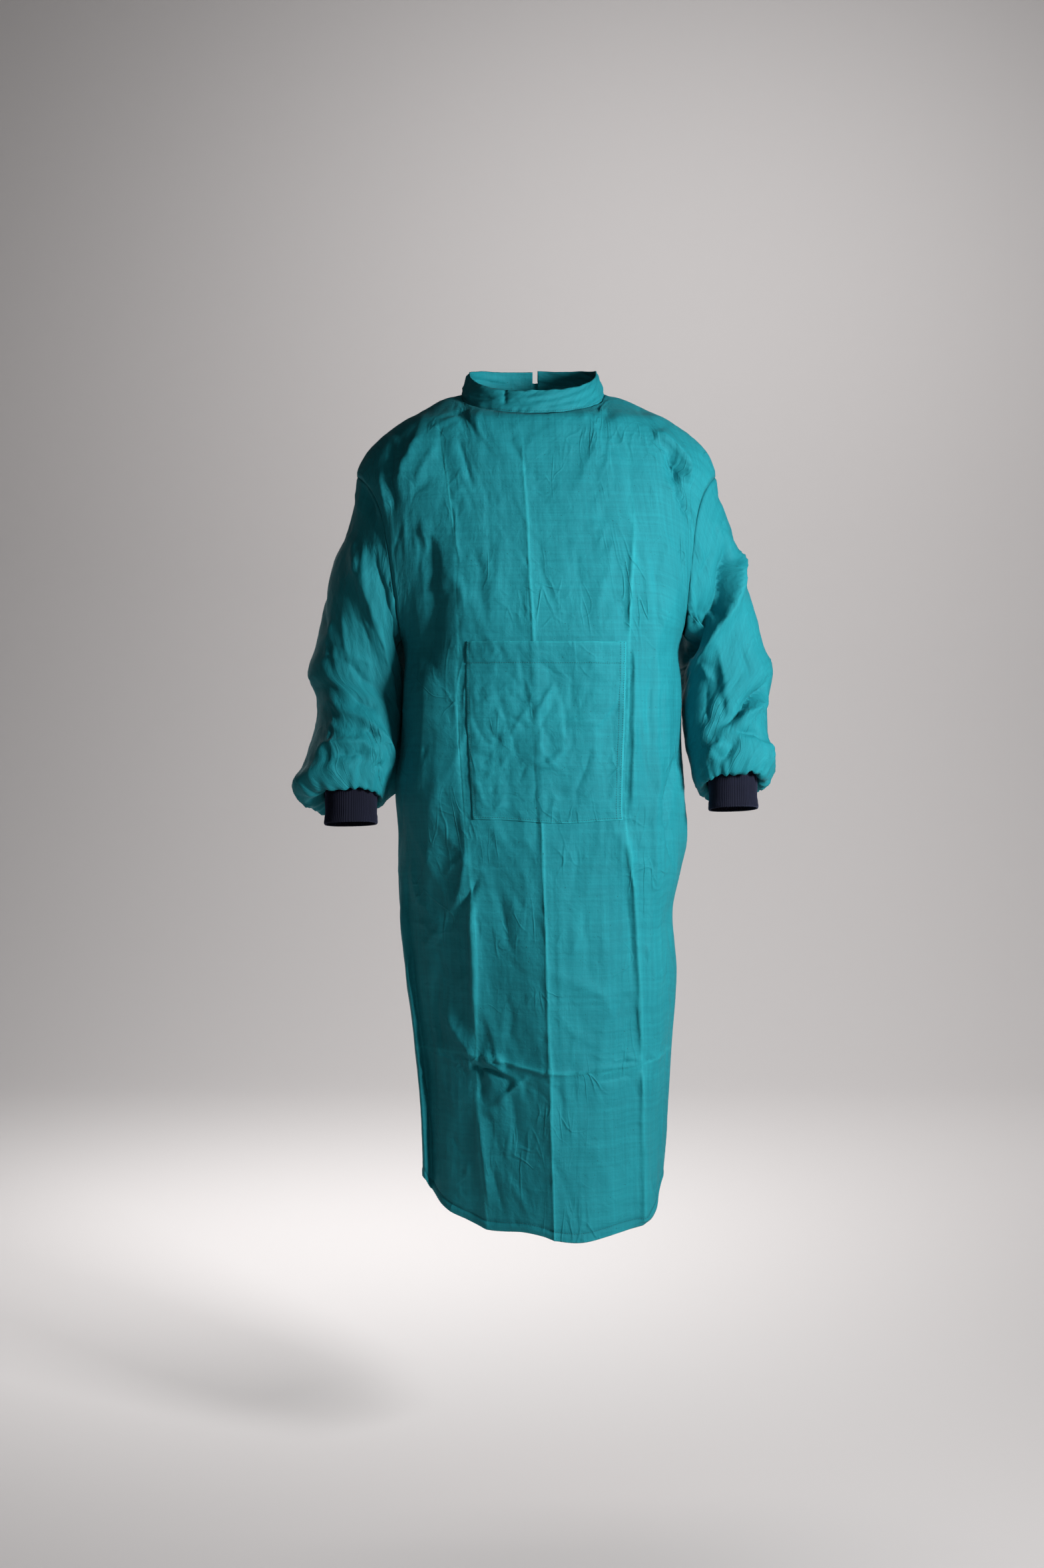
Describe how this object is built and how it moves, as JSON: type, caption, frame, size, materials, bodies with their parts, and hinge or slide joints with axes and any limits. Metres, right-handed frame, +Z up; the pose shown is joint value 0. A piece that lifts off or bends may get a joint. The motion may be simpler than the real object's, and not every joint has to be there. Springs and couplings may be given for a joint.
{
  "type": "surgical gown",
  "caption": "Long-sleeved surgical gown in worn form: stand collar, wide patch pocket, knit cuffs, curved hem and an overlapping tied back, hollow and open throughout.",
  "frame": {"origin": "middle of the neck base, at the height where the gown rests on the wearer's shoulders", "axes": "+Z up, towards the collar; -Y is the front with the pocket; +X is the wearer's left"},
  "size_m": [0.7115, 0.2825, 1.279],
  "materials": {
    "teal_cotton": "matt plain-weave cotton",
    "navy_knit": "ribbed knit",
    "teal_tape": "woven cotton tape"
  },
  "bodies": {
    "root": {"front": "teal_cotton", "back_left": "teal_cotton", "back_right": "teal_cotton", "collar": "teal_cotton", "pocket": "teal_cotton", "sleeve_left": "teal_cotton", "sleeve_right": "teal_cotton", "cuff_left": "navy_knit", "cuff_right": "navy_knit", "tie_neck": "teal_tape", "tie_waist": "teal_tape"}
  },
  "joints": []
}
